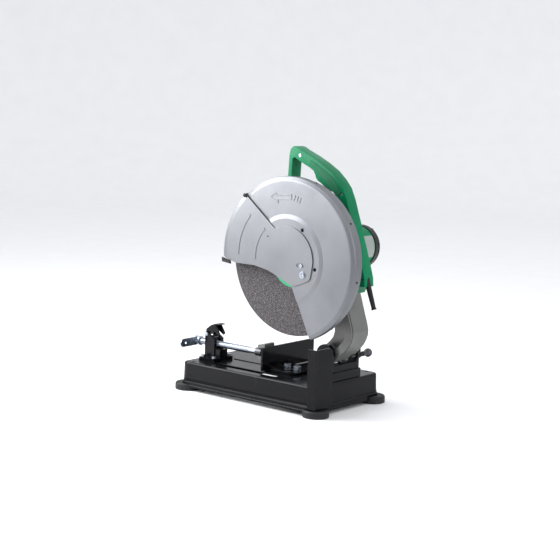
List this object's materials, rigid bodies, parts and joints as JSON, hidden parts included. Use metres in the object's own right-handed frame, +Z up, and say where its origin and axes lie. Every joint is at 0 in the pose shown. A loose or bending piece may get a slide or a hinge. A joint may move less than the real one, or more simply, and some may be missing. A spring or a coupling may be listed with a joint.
{
  "type": "abrasive chop saw",
  "caption": "Bench chop saw: abrasive wheel under fixed and swinging covers on a sprung head with motor and loop handle, on a pressed steel base with a screw vise.",
  "frame": {"origin": "middle of the base's footprint, on the bench, at the centre of the four bench bolt holes", "axes": "+Z up, +Y towards the hinge at the rear, +X towards the wheel side"},
  "size_m": [0.28, 0.5283, 0.6025],
  "materials": {
    "black_enamel": "gloss enamel",
    "rubber": "matte",
    "zinc": "bright zinc",
    "cast_grey": "painted casting",
    "guard_silver": "satin silver",
    "green_body": "semi-gloss",
    "black_plastic": "matte",
    "dark_steel": "oiled steel",
    "carbon": "matte carbon",
    "copper": "turned",
    "abrasive": "coarse grit",
    "label_paper": "printed card",
    "blank_plate": "satin"
  },
  "bodies": {
    "base": {"base_pan": "black_enamel", "feet": "rubber", "foot_screws": "zinc", "hinge_bracket": "black_enamel", "bracket_bolts": "zinc", "spark_guard": "black_enamel", "spark_guard_screws": "zinc", "hinge_shaft": "zinc", "return_spring": "zinc", "screw_bracket": "black_enamel", "screw_bracket_bolts": "zinc", "jaw_bolts": "zinc", "lever_pin": "zinc"},
    "fixed_jaw": {"fixed_jaw": "black_enamel"},
    "carriage": {"thrust_block": "dark_steel", "jaw_pin": "zinc"},
    "movable_jaw": {"movable_jaw": "cast_grey"},
    "screw": {"lead_screw": "zinc", "crank": "zinc"},
    "release_lever": {"release_lever": "black_enamel"},
    "half_nut": {"half_nut": "zinc"},
    "lock_pin": {"lock_pin": "dark_steel"},
    "head": {"arm": "cast_grey", "gear_cover": "cast_grey", "gear_cover_screws": "zinc", "spindle_bearings": "dark_steel", "armature_bearings": "dark_steel", "inner_guard": "guard_silver", "outer_guard": "guard_silver", "guard_screws": "black_enamel", "handle_left": "green_body", "handle_right": "green_body", "handle_screws": "zinc", "switch_box": "black_plastic", "motor_housing": "green_body", "tail_cover": "black_plastic", "tail_screws": "zinc", "stator": "dark_steel", "carbon_brushes": "carbon", "brush_caps": "black_plastic", "label_plate": "blank_plate", "cord_guard": "rubber"},
    "wheel": {"spindle": "zinc", "drive_gear": "dark_steel", "inner_flange": "zinc", "outer_flange": "zinc", "wheel": "abrasive", "wheel_labels": "label_paper", "wheel_bolt": "zinc"},
    "armature": {"armature_shaft": "dark_steel", "armature_core": "dark_steel", "commutator": "copper", "fan": "black_plastic"},
    "cover": {"movable_guard": "guard_silver", "cover_knob": "rubber", "cover_lip": "rubber", "cover_screw": "zinc"},
    "trigger": {"trigger": "black_plastic"},
    "lock_button": {"lock_button": "black_plastic"}
  },
  "joints": [
    {"name": "head_pivot", "type": "hinge", "parent": "base", "child": "head", "pos_m": [0, 0.175, 0.132], "axis": [1, 0, 0], "range_deg": [0, 46], "stiffness_Nm_per_rad": 22, "springref_deg": -34.38},
    {"name": "wheel_spin", "type": "hinge", "parent": "head", "child": "wheel", "pos_m": [0.09, 0.107, 0.3495], "axis": [1, 0, 0], "continuous": true},
    {"name": "armature_spin", "type": "hinge", "parent": "head", "child": "armature", "pos_m": [-0.03, 0.15951, 0.37168], "axis": [1, 0, 0], "continuous": true},
    {"name": "guard_swing", "type": "hinge", "parent": "head", "child": "cover", "pos_m": [0.117, 0.107, 0.3495], "axis": [1, 0, 0], "range_deg": [-110, 0]},
    {"name": "screw_turn", "type": "hinge", "parent": "carriage", "child": "screw", "pos_m": [0.048, -0.12, 0.109], "axis": [0, 1, 0], "range_deg": [-8820, 0]},
    {"name": "jaw_slide", "type": "slide", "parent": "base", "child": "carriage", "axis": [0, 1, 0], "range_m": [-0.098, 0]},
    {"name": "jaw_swivel", "type": "hinge", "parent": "carriage", "child": "movable_jaw", "pos_m": [0.048, -0.019, 0.11], "axis": [0, 0, 1], "range_deg": [-8, 8]},
    {"name": "jaw_angle", "type": "hinge", "parent": "base", "child": "fixed_jaw", "pos_m": [0.016, 0.036, 0.07], "axis": [0, 0, 1], "range_deg": [0, 45]},
    {"name": "lever_lift", "type": "hinge", "parent": "base", "child": "release_lever", "pos_m": [0.048, -0.181, 0.133], "axis": [1, 0, 0], "range_deg": [0, 40]},
    {"name": "nut_lift", "type": "slide", "parent": "base", "child": "half_nut", "axis": [0, 0, 1], "range_m": [0, 0.005]},
    {"name": "lock_pin_push", "type": "slide", "parent": "base", "child": "lock_pin", "axis": [1, 0, 0], "range_m": [0, 0.01]},
    {"name": "trigger_pull", "type": "hinge", "parent": "head", "child": "trigger", "pos_m": [0.006, 0.158, 0.513], "axis": [1, 0, 0], "range_deg": [-6, 0], "stiffness_Nm_per_rad": 0.2, "springref_deg": 11.46},
    {"name": "lock_button_press", "type": "slide", "parent": "head", "child": "lock_button", "axis": [1, 0, 0], "range_m": [0, 0.003], "stiffness_N_per_m": 300, "springref_m": -0.002}
  ],
  "couplings": [
    {"joint": "armature_spin", "follows": "wheel_spin", "ratio": -5.3333},
    {"joint": "jaw_slide", "follows": "screw_turn", "m_per_rad": 0.00063662},
    {"joint": "nut_lift", "follows": "lever_lift", "m_per_rad": 0.007162}
  ]
}
